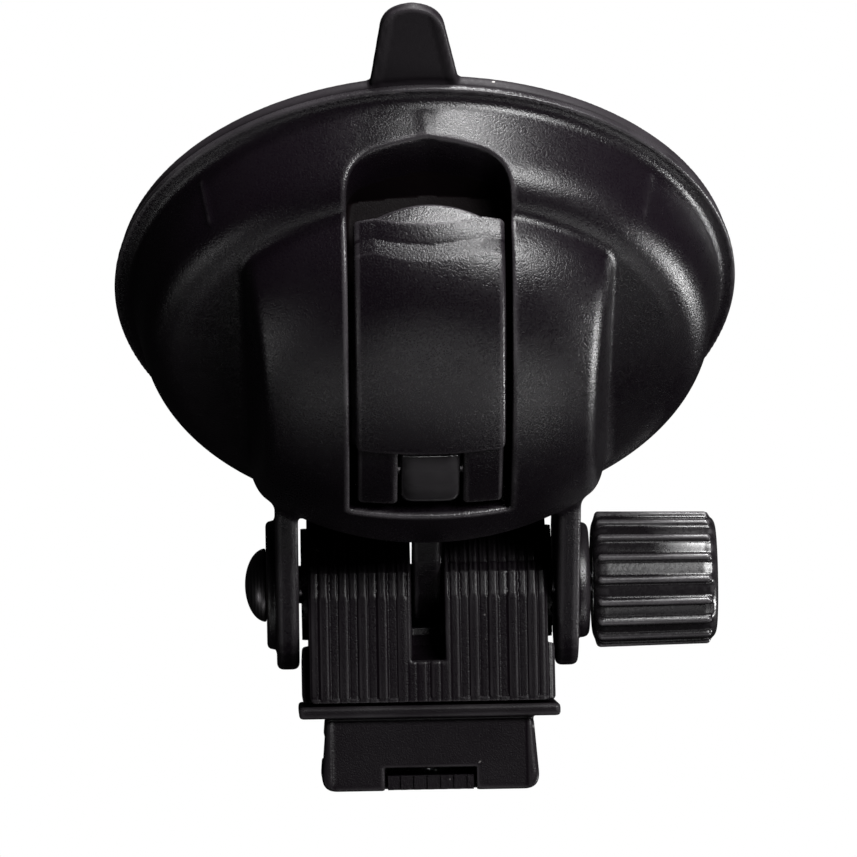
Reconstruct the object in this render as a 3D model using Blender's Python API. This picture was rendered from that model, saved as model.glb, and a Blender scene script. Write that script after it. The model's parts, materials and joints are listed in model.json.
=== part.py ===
"""Windscreen suction mount for a dash camera, as an assembly of separate pieces.

The mount hangs as it does in a car: +Z is up, the driver sits at -Y, and the origin is
the middle of the suction face, which lies on a windscreen raked by RAKE_DEG from the
vertical. Pieces of the cup are drawn in the cup's own frame: x across, y towards the pull
tab and z away from the glass. Pieces of the hinge are drawn round its axle, which runs
along X, and the camera adapter hangs upright from that axle.
"""

import math

import bmesh
import bpy
from mathutils import Matrix, Vector

MM = 0.001
GAP = 0.3

# Where the frames lie
RAKE_DEG = 52.5
AXLE_Y, AXLE_Z = -37.1, 12.7
PIN_Y, PIN_Z = -4.5, 21.8

# Rubber cup
CUP_R = 31.7
CUP_EDGE = 1.3
CUP_BODY_R, CUP_BODY_TOP = 27.4, 3.0
CUP_BOSS_R, CUP_BOSS_TOP = 16.4, 5.2
CUP_POCKET_R, CUP_POCKET_FLOOR = 12.6, 1.4
TAB_END, TAB_BASE_W, TAB_END_W = 43.7, 8.9, 6.3
TAB_OFFSET = -1.2

# Cover
FLANGE_R, FLANGE_BOTTOM, FLANGE_TOP = 32.0, 1.6, 2.4
WALL_BASE_R, WALL_TOP_R, WALL_TOP = 30.4, 28.9, 10.6
RIDGE_R, RIDGE_Z = 28.3, 11.3
DOME_R, DOME_BASE, DOME_RISE = 25.3, 12.0, 14.0
HUB_BASE_HALF, HUB_DRAFT = 18.7, 0.194
SLOT_HALF, SLOT_END = 8.15, -9.5
SLOT_FLOOR = 14.7
BELL_SEGMENTS = 72

# Ears, tongue and bosses
EAR_IN, EAR_OUT, EAR_R = 13.5, 15.9, 9.0
TONGUE_HALF, TONGUE_R = 1.45, 4.2
LEFT_BOSS_R, LEFT_BOSS_X = 6.8, 16.9
RIGHT_BOSS_R, RIGHT_BOSS_X = 6.1, 17.2
BOLT_R, BOLT_HOLE_R = 2.0, 2.3

# Lever and its pin
LEVER_HALF = 7.4
LEVER_FOOT = 9.6
ARM_IN, ARM_R = 3.35, 4.2
CAM_R, CAM_OFFSET = 4.3, 1.3
PIN_R, PIN_HOLE_R, PIN_HALF = 1.0, 1.3, 7.0

# Stem
STEM_HEAD_HALF, STEM_HEAD_R, STEM_HEAD_END = 3.05, 4.0, 1.5
STEM_R = 2.7
PLATE_R, PLATE_BOTTOM, PLATE_TOP = 12.2, 3.5, 4.9
SPRING_POCKET_R, SPRING_POCKET_TOP = 7.2, 12.8
SPRING_R, SPRING_WIRE, SPRING_TURNS = 5.2, 0.5, 6

# Knob
KNOB_START, KNOB_END = 17.5, 30.6
KNOB_ROOT_R, KNOB_RIB_R, KNOB_RIBS = 6.75, 7.3, 18
KNOB_TAPER = 0.965

# Camera adapter, measured from the axle
BARREL_R = 7.9
BLOCK_HALF = 12.55
BLOCK_SLOT_HALF, BLOCK_SLOT_R = 1.75, 8.05
BLOCK_FRONT, BLOCK_REAR, BLOCK_BOTTOM = -8.9, 9.4, -12.4
SHOULDER_TOP, SHOULDER_BOTTOM = 1.5, -1.05
RIB_PITCH, RIB_DEPTH = 1.02, 0.22
CHEEK_HALF, CHEEK_TOP = 13.3, -6.4
SHOE_TOP = BLOCK_BOTTOM - GAP
SHOE_PLATE_HALF, SHOE_PLATE_THICK = 13.7, 1.3
SHOE_HALF, SHOE_BOTTOM, SHOE_DEPTH = 11.4, -21.7, 8.0
SHOE_RECESS_HALF, SHOE_STOP = 10.2, 1.6
SCREW_X = 7.7
LATCH_HALF, LATCH_TOP, LATCH_TRAVEL = 4.5, -20.1, 0.7
LATCH_POCKET_END, LATCH_SPRING_Y, LATCH_SPRING_TOP = 3.0, -5.6, -18.2


# ---------------------------------------------------------------- building blocks


def clear_scene():
    for obj in list(bpy.data.objects):
        bpy.data.objects.remove(obj)


def material(name, colour, roughness, metallic=0.0, transmission=0.0):
    made = bpy.data.materials.new(name)
    made.use_nodes = True
    shader = made.node_tree.nodes["Principled BSDF"]
    shader.inputs["Base Color"].default_value = (*colour, 1.0)
    shader.inputs["Roughness"].default_value = roughness
    shader.inputs["Metallic"].default_value = metallic
    shader.inputs["Transmission Weight"].default_value = transmission
    return made


def mesh_from(verts, faces):
    """A mesh from points in millimetres, with its faces turned outwards."""
    mesh = bpy.data.meshes.new("shape")
    mesh.from_pydata([tuple(c * MM for c in v) for v in verts], [], faces)
    work = bmesh.new()
    work.from_mesh(mesh)
    bmesh.ops.recalc_face_normals(work, faces=work.faces)
    work.to_mesh(mesh)
    work.free()
    return mesh


def turned(profile, segments):
    """Turns a closed (radius, height) outline round Z. Radius 0 is a point on the axis."""
    verts, rings = [], []
    for radius, height in profile:
        if radius == 0:
            rings.append([len(verts)] * segments)
            verts.append((0, 0, height))
            continue
        rings.append(list(range(len(verts), len(verts) + segments)))
        for k in range(segments):
            angle = 2 * math.pi * k / segments
            verts.append((radius * math.cos(angle), radius * math.sin(angle), height))
    faces = []
    for i, ring in enumerate(rings):
        after = rings[(i + 1) % len(rings)]
        for k in range(segments):
            n = (k + 1) % segments
            corners = [ring[k], ring[n], after[n], after[k]]
            unique = list(dict.fromkeys(corners))
            if len(unique) > 2:
                faces.append(unique)
    return mesh_from(verts, faces)


def prism(outline, low, high):
    """Extrudes a closed (y, z) outline along X from low to high."""
    count = len(outline)
    verts = [(low, y, z) for y, z in outline] + [(high, y, z) for y, z in outline]
    faces = [list(range(count)), list(range(2 * count - 1, count - 1, -1))]
    for k in range(count):
        n = (k + 1) % count
        faces.append([k, n, count + n, count + k])
    return mesh_from(verts, faces)


def box(low, high):
    outline = [(low[1], low[2]), (high[1], low[2]), (high[1], high[2]), (low[1], high[2])]
    return prism(outline, low[0], high[0])


def arc(centre, radius, start_deg, end_deg, steps):
    """Points along an arc in the (y, z) plane, with 0 degrees at +y."""
    points = []
    for k in range(steps + 1):
        angle = math.radians(start_deg + (end_deg - start_deg) * k / steps)
        points.append((centre[0] + radius * math.cos(angle), centre[1] + radius * math.sin(angle)))
    return points


def hull(points):
    """The convex outline round some (y, z) points."""
    ordered = sorted(set(points))

    def half(sequence):
        kept = []
        for p in sequence:
            while len(kept) > 1 and cross(kept[-2], kept[-1], p) <= 0:
                kept.pop()
            kept.append(p)
        return kept[:-1]

    def cross(o, a, b):
        return (a[0] - o[0]) * (b[1] - o[1]) - (a[1] - o[1]) * (b[0] - o[0])

    return half(ordered) + half(reversed(ordered))


def x_turned(profile, segments):
    """Turns a closed (radius, x) outline round the X axis."""
    mesh = turned(profile, segments)
    mesh.transform(Matrix.Rotation(math.radians(90), 4, "Y"))
    return mesh


def x_cylinder(radius, low, high, segments=32):
    return x_turned([(0, low), (radius, low), (radius, high), (0, high)], segments)


def moved(mesh, x=0.0, y=0.0, z=0.0):
    mesh.transform(Matrix.Translation(Vector((x, y, z)) * MM))
    return mesh


def add(name, mesh, parent, finish, sharp_deg=35):
    obj = bpy.data.objects.new(name, mesh)
    bpy.context.scene.collection.objects.link(obj)
    obj.parent = parent
    mesh.materials.append(finish)
    mesh.shade_smooth()
    mesh.set_sharp_from_angle(angle=math.radians(sharp_deg))
    return obj


def combine(obj, operation, mesh):
    """Adds an exact Boolean of obj with a hidden helper made of mesh."""
    helper = bpy.data.objects.new(f"{obj.name}_{operation.lower()}", mesh)
    bpy.context.scene.collection.objects.link(helper)
    helper.parent = obj.parent
    helper.hide_render = True
    helper.display_type = "WIRE"
    modifier = obj.modifiers.new(operation.title(), "BOOLEAN")
    modifier.operation = operation
    modifier.solver = "EXACT"
    modifier.object = helper


def frame_empty(name, parent, location, tilt_deg=0.0):
    empty = bpy.data.objects.new(name, None)
    bpy.context.scene.collection.objects.link(empty)
    empty.parent = parent
    empty.location = Vector(location) * MM
    empty.rotation_euler = (math.radians(tilt_deg), 0, 0)
    return empty


def coil(radius, wire, low, high, turns, per_turn, sides):
    """A helical wire round Z, closed by flat caps."""
    start, end = low + wire, high - wire
    steps = turns * per_turn
    verts, faces = [], []
    for k in range(steps + 1):
        angle = 2 * math.pi * k / per_turn
        height = start + (end - start) * k / steps
        for s in range(sides):
            around = 2 * math.pi * s / sides
            reach = radius + wire * math.cos(around)
            rise = wire * math.sin(around)
            verts.append((reach * math.cos(angle), reach * math.sin(angle), height + rise))
    for k in range(steps):
        for s in range(sides):
            n = (s + 1) % sides
            faces.append([k * sides + s, k * sides + n, (k + 1) * sides + n, (k + 1) * sides + s])
    faces.append(list(range(sides)))
    faces.append(list(range(steps * sides, (steps + 1) * sides)))
    return mesh_from(verts, faces)


# ---------------------------------------------------------------- the cup and its cover


def dome_solid(foot, segments, steps=12):
    """The hub's dome, as a solid that reaches down to foot."""
    profile = [(0, foot), (DOME_R, foot)]
    for k in range(steps):
        angle = 0.5 * math.pi * k / steps
        profile.append((DOME_R * math.cos(angle), DOME_BASE + DOME_RISE * math.sin(angle)))
    profile.append((0, DOME_BASE + DOME_RISE))
    return turned(profile, segments)


def make_suction_cup(parent, finish):
    profile = [
        (0, 0),
        (CUP_R, 0),
        (CUP_R, CUP_EDGE),
        (CUP_BODY_R, CUP_EDGE),
        (CUP_BODY_R - 1.2, CUP_BODY_TOP),
        (CUP_BOSS_R, CUP_BODY_TOP),
        (CUP_BOSS_R, CUP_BOSS_TOP),
        (CUP_POCKET_R, CUP_BOSS_TOP),
        (CUP_POCKET_R, CUP_POCKET_FLOOR),
        (0, CUP_POCKET_FLOOR),
    ]
    cup = add("suction_cup", turned(profile, BELL_SEGMENTS), parent, finish)
    end_r = TAB_END_W / 2
    outline = [(-TAB_BASE_W / 2, CUP_R - 2.5), (TAB_BASE_W / 2, CUP_R - 2.5)]
    outline += arc((0, TAB_END - end_r), end_r, 0, 180, 10)
    tab = prism(outline, 0, CUP_EDGE - 0.1)
    # prism() draws in (y, z) along X, so the tab is turned to lie flat on the glass.
    tab.transform(Matrix(((0, 1, 0, 0), (0, 0, 1, 0), (1, 0, 0, 0), (0, 0, 0, 1))))
    combine(cup, "UNION", moved(tab, x=TAB_OFFSET))


def ear_outline():
    """Side view of an ear: a round end at the axle, run back into the hub."""
    return hull(arc((AXLE_Y, AXLE_Z), EAR_R, 0, 345, 23) + [(-24.0, 5.2), (-16.0, 17.6)])


def tongue_outline():
    return hull(arc((AXLE_Y, AXLE_Z), TONGUE_R, 0, 345, 23) + [(-26.0, 9.0), (-22.0, 14.6)])


def slot_outline():
    """Side view of the lever's trough, which runs out through the bell's wall."""
    top = DOME_BASE + DOME_RISE + 5
    floor = [(36, 5.6), (24, 7.4), (14, SLOT_FLOOR), (SLOT_END, SLOT_FLOOR)]
    return floor + [(SLOT_END, top), (36, top)]


def make_hub(parent, finish):
    """The dome between its drafted sides, kept hidden until the bell takes it in."""
    hub = add("hub_helper", dome_solid(DOME_BASE - 2, BELL_SEGMENTS), parent, finish)
    hub.hide_render = True
    hub.display_type = "WIRE"
    low, high = DOME_BASE - 3, DOME_BASE + DOME_RISE + 2
    near, far = half_width(low), half_width(high)
    flats = prism([(-near, low), (near, low), (far, high), (-far, high)], -30, 30)
    flats.transform(Matrix.Rotation(math.radians(90), 4, "Z"))
    combine(hub, "INTERSECT", flats)
    return hub


def ear_boss(side, radius, face, chamfer):
    """A round boss on the outside of an ear, out to face along X."""
    root = side * (EAR_IN + 1)
    profile = [(0, root), (radius, root), (radius, side * (face - chamfer))]
    profile += [(radius - chamfer, side * face), (0, side * face)]
    return moved(x_turned(profile, 36), y=AXLE_Y, z=AXLE_Z)


def make_cover(parent, finish):
    profile = [
        (0, 9.0),
        (17.0, 9.0),
        (17.0, 4.2),
        (28.4, 4.2),
        (29.0, FLANGE_BOTTOM),
        (FLANGE_R, FLANGE_BOTTOM),
        (FLANGE_R, FLANGE_TOP),
        (WALL_BASE_R, FLANGE_TOP + 0.1),
        (WALL_TOP_R, WALL_TOP),
        (RIDGE_R, RIDGE_Z),
        (DOME_R, DOME_BASE),
        (0, DOME_BASE),
    ]
    cover = add("cover", turned(profile, BELL_SEGMENTS), parent, finish)
    union = cover.modifiers.new("Hub", "BOOLEAN")
    union.operation = "UNION"
    union.solver = "EXACT"
    union.object = make_hub(parent, finish)
    for low, high in ((-EAR_OUT, -EAR_IN), (EAR_IN, EAR_OUT)):
        combine(cover, "UNION", prism(ear_outline(), low, high))
    combine(cover, "UNION", prism(tongue_outline(), -TONGUE_HALF, TONGUE_HALF))
    combine(cover, "UNION", ear_boss(-1, LEFT_BOSS_R, LEFT_BOSS_X, 0.4))
    combine(cover, "UNION", ear_boss(1, RIGHT_BOSS_R, RIGHT_BOSS_X, 0.5))
    combine(cover, "DIFFERENCE", prism(slot_outline(), -SLOT_HALF, SLOT_HALF))
    open_cover(cover)


def open_cover(cover):
    """The spring's pocket, the window for the stem and the bolt's hole."""
    top = SPRING_POCKET_TOP
    pocket = [(0, 3), (SPRING_POCKET_R, 3), (SPRING_POCKET_R, top), (0, top)]
    combine(cover, "DIFFERENCE", turned(pocket, 36))
    half = STEM_HEAD_HALF + GAP
    back = PIN_Y - STEM_HEAD_R - GAP
    combine(cover, "DIFFERENCE", box((-half, back, top - 1), (half, STEM_R + GAP, SLOT_FLOOR + 1)))
    bolt_hole = x_cylinder(BOLT_HOLE_R, -20, 20, 24)
    combine(cover, "DIFFERENCE", moved(bolt_hole, y=AXLE_Y, z=AXLE_Z))


def half_width(height):
    """Half the hub's width between its drafted sides."""
    return HUB_BASE_HALF - HUB_DRAFT * (height - DOME_BASE)


def make_stem(parent, finish):
    head_low = SLOT_FLOOR - 0.3
    head = arc((PIN_Y, PIN_Z), STEM_HEAD_R, 0, 345, 23)
    head += [(PIN_Y - STEM_HEAD_R, head_low), (STEM_R, head_low), (STEM_HEAD_END, PIN_Z + 3.6)]
    head = hull(head)
    stem = add("stem", prism(head, -STEM_HEAD_HALF, STEM_HEAD_HALF), parent, finish)
    rod = [
        (0, PLATE_BOTTOM),
        (PLATE_R, PLATE_BOTTOM),
        (PLATE_R, PLATE_TOP),
        (STEM_R, PLATE_TOP),
        (STEM_R - 0.1, head_low + 1),
        (0, head_low + 1),
    ]
    combine(stem, "UNION", turned(rod, 36))
    combine(stem, "DIFFERENCE", moved(x_cylinder(PIN_HOLE_R, -5, 5, 24), y=PIN_Y, z=PIN_Z))


def make_return_spring(parent, finish):
    low, high = PLATE_TOP + GAP, SPRING_POCKET_TOP - GAP
    add("return_spring", coil(SPRING_R, SPRING_WIRE, low, high, SPRING_TURNS, 16, 6), parent, finish)


def make_cam_plate(parent, finish):
    """The wear plate that the lever's cams press on, slotted for the stem."""
    bottom, top = SLOT_FLOOR + GAP, SLOT_FLOOR + GAP + 0.6
    half = SLOT_HALF - GAP
    plate = add("cam_plate", box((-half, SLOT_END + GAP, bottom), (half, 5.2, top)), parent, finish)
    inner = STEM_HEAD_HALF + GAP
    back = PIN_Y - STEM_HEAD_R - GAP
    combine(plate, "DIFFERENCE", box((-inner, back, bottom - 1), (inner, 3.2, top + 1)))


def lever_outline():
    """Side view of the lever's plate; the dome trims its outer face."""
    top = DOME_BASE + DOME_RISE + 4
    under = [(27, LEVER_FOOT), (22.2, LEVER_FOOT), (20.2, 14.4), (14.5, 19.4), (8.5, 21.6)]
    return under + [(3.0, 22.4), (3.0, top), (27, top)]


def make_lock_lever(parent, finish):
    dome = moved(dome_solid(LEVER_FOOT - 2, BELL_SEGMENTS), y=-PIN_Y, z=-PIN_Z)
    lever = add("lock_lever", dome, parent, finish)
    plate = prism(lever_outline(), -LEVER_HALF, LEVER_HALF)
    combine(lever, "INTERSECT", moved(plate, y=-PIN_Y, z=-PIN_Z))
    arm = arc((0, 0), ARM_R, 0, 345, 23) + arc((0, -CAM_OFFSET), CAM_R, 0, 345, 23)
    arm = hull(arm + [(9.0, -2.4), (9.0, 0.2)])
    for side in (-1, 1):
        low, high = sorted((side * ARM_IN, side * (LEVER_HALF - 0.05)))
        combine(lever, "UNION", prism(arm, low, high))
    combine(lever, "DIFFERENCE", x_cylinder(PIN_HOLE_R, -9, 9, 24))
    combine(lever, "DIFFERENCE", moved(scoop(7.5, 6.5), y=31.0 - PIN_Y, z=7.0 - PIN_Z))


def scoop(radius, half_height, steps=8):
    """The flattened ball that hollows the lever's tip for a fingertip."""
    profile = [(0, -half_height)]
    for k in range(1, steps):
        angle = math.radians(-90 + 180 * k / steps)
        profile.append((radius * math.cos(angle), half_height * math.sin(angle)))
    return turned(profile + [(0, half_height)], 32)


def make_lever_pin(parent, finish):
    profile = [(0, -PIN_HALF), (PIN_R - 0.2, -PIN_HALF), (PIN_R, 0.2 - PIN_HALF)]
    profile += [(PIN_R, PIN_HALF - 0.2), (PIN_R - 0.2, PIN_HALF), (0, PIN_HALF)]
    add("lever_pin", x_turned(profile, 20), parent, finish)


# ---------------------------------------------------------------- the hinge


def make_hinge_bolt(parent, finish):
    head_base, head_r, head_rise = -LEFT_BOSS_X - GAP, 4.6, 1.8
    end = 25.5
    profile = [(0, end), (BOLT_R - 0.4, end), (BOLT_R, end - 0.5), (BOLT_R, head_base)]
    profile += [(head_r, head_base)]
    for k in range(1, 7):
        angle = 0.5 * math.pi * k / 6
        profile.append((head_r * math.cos(angle), head_base - head_rise * math.sin(angle)))
    profile[-1] = (0, head_base - head_rise)
    add("hinge_bolt", x_turned(profile, 28), parent, finish)


def make_detent_ring(name, side, parent, finish):
    """A ring with radial teeth on the face towards the ear."""
    inner, outer, teeth = 3.1, 5.9, 24
    base, root, tip = 12.2, 12.9, 13.2
    verts, faces = [], []
    count = 2 * teeth
    for k in range(count):
        angle = 2 * math.pi * k / count
        face = tip if k % 2 else root
        for radius, x in ((inner, base), (outer, base), (outer, face), (inner, face)):
            verts.append((side * x, radius * math.cos(angle), radius * math.sin(angle)))
    for k in range(count):
        here, after = 4 * k, 4 * ((k + 1) % count)
        for c in range(4):
            n = (c + 1) % 4
            faces.append([here + c, here + n, after + n, after + c])
    add(name, mesh_from(verts, faces), parent, finish, sharp_deg=20)


def make_washer(name, inner, outer, low, high, parent, finish):
    profile = [(inner, low), (outer, low), (outer, high), (inner, high)]
    add(name, x_turned(profile, 32), parent, finish)


def make_spring_washer(parent, finish):
    """A split washer: a ring with a slanting cut, twisted by half its thickness."""
    inner, outer, low, high, twist, steps = 2.5, 4.2, 18.45, 19.0, 0.2, 30
    verts, faces = [], []
    for k in range(steps + 1):
        angle = math.radians(8 + 344 * k / steps)
        shift = twist * k / steps
        for radius, x in ((inner, low), (outer, low), (outer, high), (inner, high)):
            verts.append((x + shift, radius * math.cos(angle), radius * math.sin(angle)))
    for k in range(steps):
        for c in range(4):
            n = (c + 1) % 4
            faces.append([4 * k + c, 4 * k + n, 4 * k + 4 + n, 4 * k + 4 + c])
    faces.append([0, 1, 2, 3])
    faces.append([4 * steps, 4 * steps + 1, 4 * steps + 2, 4 * steps + 3])
    add("spring_washer", mesh_from(verts, faces), parent, finish)


def knob_ring(x, scale):
    """One cross-section of the knob: flats with a narrow rib between each two."""
    rib = ((-4.5, KNOB_ROOT_R), (-2.6, KNOB_RIB_R), (2.6, KNOB_RIB_R), (4.5, KNOB_ROOT_R))
    points = []
    for k in range(KNOB_RIBS):
        for offset, radius in rib:
            angle = math.radians(360 * k / KNOB_RIBS + offset)
            points.append((x, scale * radius * math.cos(angle), scale * radius * math.sin(angle)))
    return points


def make_knob(parent, finish):
    sections = [(KNOB_START, 0.95), (KNOB_START + 0.5, 1.0), (KNOB_END - 1.3, KNOB_TAPER)]
    sections += [(KNOB_END - 0.5, KNOB_TAPER - 0.04), (KNOB_END, KNOB_TAPER - 0.15)]
    rings = [knob_ring(x, scale) for x, scale in sections]
    count = len(rings[0])
    verts = [p for ring in rings for p in ring]
    faces = [list(range(count)), list(range((len(rings) - 1) * count, len(rings) * count))]
    for i in range(len(rings) - 1):
        for k in range(count):
            n = (k + 1) % count
            faces.append([i * count + k, i * count + n, (i + 1) * count + n, (i + 1) * count + k])
    knob = add("knob", mesh_from(verts, faces), parent, finish, sharp_deg=25)
    bore = [(0, 16), (5.2, 16), (5.2, 19.6), (3.7, 19.6), (3.7, 27.0), (0, 27.0)]
    combine(knob, "DIFFERENCE", x_turned(bore, 28))


def make_knob_insert(parent, finish):
    """The threaded brass insert, with two grooves that key it into the knob."""
    profile = [(BOLT_HOLE_R, 19.9), (3.4, 19.9), (3.4, 21.6), (3.0, 21.9), (3.0, 22.6), (3.4, 22.9)]
    profile += [(3.4, 26.7), (BOLT_HOLE_R, 26.7)]
    add("knob_insert", x_turned(profile, 28), parent, finish)


# ---------------------------------------------------------------- the camera adapter


def barrel_outline():
    """Side view of a knuckle: round over the axle, with a shoulder and a flat front."""
    start = math.degrees(math.asin(SHOULDER_TOP / BARREL_R))
    outline = arc((0, 0), BARREL_R, 0, 180 - start, 16)
    outline += [(BLOCK_FRONT, SHOULDER_BOTTOM), (BLOCK_FRONT, BLOCK_BOTTOM), (BLOCK_REAR, BLOCK_BOTTOM)]
    return outline + [(BLOCK_REAR, -3.0), (BARREL_R, -1.0)]


def make_adapter_block(parent, finish):
    block = add("adapter_block", prism(barrel_outline(), -BLOCK_HALF, BLOCK_HALF), parent, finish)
    back = BLOCK_REAR - 1
    cheeks = [(-7.0, BLOCK_BOTTOM), (back, BLOCK_BOTTOM), (back, CHEEK_TOP - 1.5), (-6.2, CHEEK_TOP)]
    combine(block, "UNION", prism(cheeks, -CHEEK_HALF, CHEEK_HALF))
    slot = arc((0, 0), BLOCK_SLOT_R, -90, 95, 18)
    slot += [(0, 12), (-14, 12), (-14, -BLOCK_SLOT_R)]
    combine(block, "DIFFERENCE", prism(slot, -BLOCK_SLOT_HALF, BLOCK_SLOT_HALF))
    for side in (-1, 1):
        rib_front(block, side)
        combine(block, "DIFFERENCE", x_cylinder(6.2, side * 11.9, side * 14.5))
        screw = turned([(0, -13), (0.8, -13), (0.8, -7.5), (0, -7.5)], 16)
        combine(block, "DIFFERENCE", moved(screw, x=side * SCREW_X))
    combine(block, "DIFFERENCE", x_cylinder(BOLT_HOLE_R, -13.5, 13.5, 24))


def rib_front(block, side):
    """Cuts every other band of one knuckle's front back by RIB_DEPTH."""
    low, high = BLOCK_BOTTOM + 0.5, SHOULDER_BOTTOM + 1
    for k in range(round((BLOCK_HALF - BLOCK_SLOT_HALF) / (2 * RIB_PITCH))):
        start = BLOCK_SLOT_HALF + RIB_PITCH * (2 * k + 1)
        left, right = sorted((side * start, side * (start + RIB_PITCH)))
        groove = box((left, BLOCK_FRONT - 1, low), (right, BLOCK_FRONT + RIB_DEPTH, high))
        combine(block, "DIFFERENCE", groove)


def shoe_outline(top):
    """Front view of the shoe under its plate, with rounded lower corners."""
    corner = 1.2
    centre_x, centre_z = SHOE_HALF - corner, SHOE_BOTTOM + corner
    outline = [(0.5 - SHOE_HALF, top), (-SHOE_HALF, centre_z)]
    outline += arc((-centre_x, centre_z), corner, 180, 270, 4)
    outline += arc((centre_x, centre_z), corner, 270, 360, 4)
    return outline + [(SHOE_HALF - 0.5, top)]


def make_camera_shoe(parent, finish):
    top, bottom = SHOE_TOP, SHOE_TOP - SHOE_PLATE_THICK
    low = (-SHOE_PLATE_HALF, BLOCK_FRONT - 0.8, bottom)
    shoe = add("camera_shoe", box(low, (SHOE_PLATE_HALF, BLOCK_REAR + 0.8, top)), parent, finish)
    foot = prism(shoe_outline(bottom + 0.3), -SHOE_DEPTH, SHOE_DEPTH)
    foot.transform(Matrix.Rotation(math.radians(90), 4, "Z"))
    combine(shoe, "UNION", foot)
    low = (-SHOE_RECESS_HALF, -SHOE_DEPTH - 1, SHOE_BOTTOM + 1.4)
    combine(shoe, "DIFFERENCE", box(low, (SHOE_RECESS_HALF, 0.4 - SHOE_DEPTH, bottom - 0.6)))
    for side in (-1, 1):
        groove = box((side * 10.4, SHOE_STOP - SHOE_DEPTH, -18.6), (side * 14.0, 20, -16.2))
        combine(shoe, "DIFFERENCE", groove)
        hole = [(0, -22.5), (2.4, -22.5), (2.4, -17.5), (1.4, -17.5), (1.4, -12), (0, -12)]
        combine(shoe, "DIFFERENCE", moved(turned(hole, 20), x=side * SCREW_X))
    open_latch_pocket(shoe)


def open_latch_pocket(shoe):
    """The pocket the latch rises into, with a bore for its spring above."""
    half = LATCH_HALF + GAP
    roof = LATCH_TOP + LATCH_TRAVEL + 0.1
    low = (-half, -SHOE_DEPTH - 1, SHOE_BOTTOM - 1)
    combine(shoe, "DIFFERENCE", box(low, (half, -LATCH_POCKET_END, roof)))
    seat_top = LATCH_SPRING_TOP + GAP
    seat = turned([(0, roof - 0.5), (1.1, roof - 0.5), (1.1, seat_top), (0, seat_top)], 16)
    combine(shoe, "DIFFERENCE", moved(seat, y=LATCH_SPRING_Y))


def make_shoe_screw(name, x, parent, finish):
    profile = [(0, -19.6), (1.9, -19.6), (2.1, -19.2), (2.1, -17.8), (0.6, -17.8)]
    profile += [(0.5, -8.6), (0.2, -7.9), (0, -7.9)]
    add(name, moved(turned(profile, 20), x=x), parent, finish)


def make_shoe_latch(parent, finish):
    """The sprung catch in the foot of the shoe, with a ribbed thumb edge in front."""
    front, back, low = -SHOE_DEPTH - 0.1, -LATCH_POCKET_END - GAP, SHOE_BOTTOM + 0.1
    body = box((-LATCH_HALF, front, low), (LATCH_HALF, back, LATCH_TOP))
    latch = add("shoe_latch", body, parent, finish)
    for k in range(6):
        x = -3.85 + 1.4 * k
        groove = box((x, front - 1, low - 1), (x + 0.7, front + 0.25, LATCH_TOP + 1))
        combine(latch, "DIFFERENCE", groove)


def make_latch_spring(parent, finish):
    mesh = coil(0.62, 0.14, LATCH_TOP + GAP, LATCH_SPRING_TOP, 3, 12, 5)
    add("latch_spring", moved(mesh, y=LATCH_SPRING_Y), parent, finish)


# ---------------------------------------------------------------- the assembly


def main():
    clear_scene()
    satin_black = material("satin_black_plastic", (0.012, 0.011, 0.013), 0.42)
    fine_black = material("fine_black_plastic", (0.015, 0.014, 0.016), 0.5)
    gloss_black = material("gloss_black_plastic", (0.010, 0.010, 0.011), 0.25)
    rubber = material("black_rubber", (0.014, 0.013, 0.014), 0.65)
    smoke = material("smoke_clear_plastic", (0.05, 0.05, 0.055), 0.12, transmission=0.6)
    steel = material("zinc_steel", (0.62, 0.63, 0.65), 0.32, metallic=1.0)
    black_steel = material("black_oxide_steel", (0.03, 0.03, 0.032), 0.3, metallic=1.0)
    brass = material("brass", (0.75, 0.55, 0.22), 0.3, metallic=1.0)
    acetal = material("black_acetal", (0.018, 0.017, 0.018), 0.4)

    cup = frame_empty("cup_frame", None, (0, 0, 0), 90 + RAKE_DEG)
    pin = frame_empty("pin_axis", cup, (0, PIN_Y, PIN_Z))
    rake = math.radians(90 + RAKE_DEG)
    axle_at = (
        0,
        AXLE_Y * math.cos(rake) - AXLE_Z * math.sin(rake),
        AXLE_Y * math.sin(rake) + AXLE_Z * math.cos(rake),
    )
    axle = frame_empty("axle_axis", None, axle_at)

    make_suction_cup(cup, rubber)
    make_cover(cup, satin_black)
    make_stem(cup, smoke)
    make_return_spring(cup, steel)
    make_cam_plate(cup, acetal)
    make_lock_lever(pin, satin_black)
    make_lever_pin(pin, black_steel)

    make_hinge_bolt(axle, black_steel)
    make_detent_ring("detent_ring_left", -1, axle, fine_black)
    make_detent_ring("detent_ring_right", 1, axle, fine_black)
    make_washer("thrust_washer", 2.4, 4.7, RIGHT_BOSS_X + GAP, RIGHT_BOSS_X + GAP + 0.6, axle, steel)
    make_spring_washer(axle, steel)
    make_knob(axle, gloss_black)
    make_knob_insert(axle, brass)

    make_adapter_block(axle, fine_black)
    make_camera_shoe(axle, fine_black)
    make_shoe_screw("shoe_screw_left", -SCREW_X, axle, steel)
    make_shoe_screw("shoe_screw_right", SCREW_X, axle, steel)
    make_shoe_latch(axle, fine_black)
    make_latch_spring(axle, steel)


main()
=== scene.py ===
"""The looks of the windscreen suction mount.

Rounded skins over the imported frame, their finishes, the studio light and the camera.

Each skin is the zero surface of a field of signed distances in millimetres. The cover, lever,
stem and cup have their fields in the cup's frame: z is the cup's axis, away from the glass,
and y points at the pull tab. The adapter, shoe, knob and bolt have theirs in the axle's frame:
it starts in the middle of the hinge, with x along the bolt and z up.
"""

import json
import math

import bpy
import numpy as np
import openvdb
from mathutils import Matrix, Vector


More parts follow.
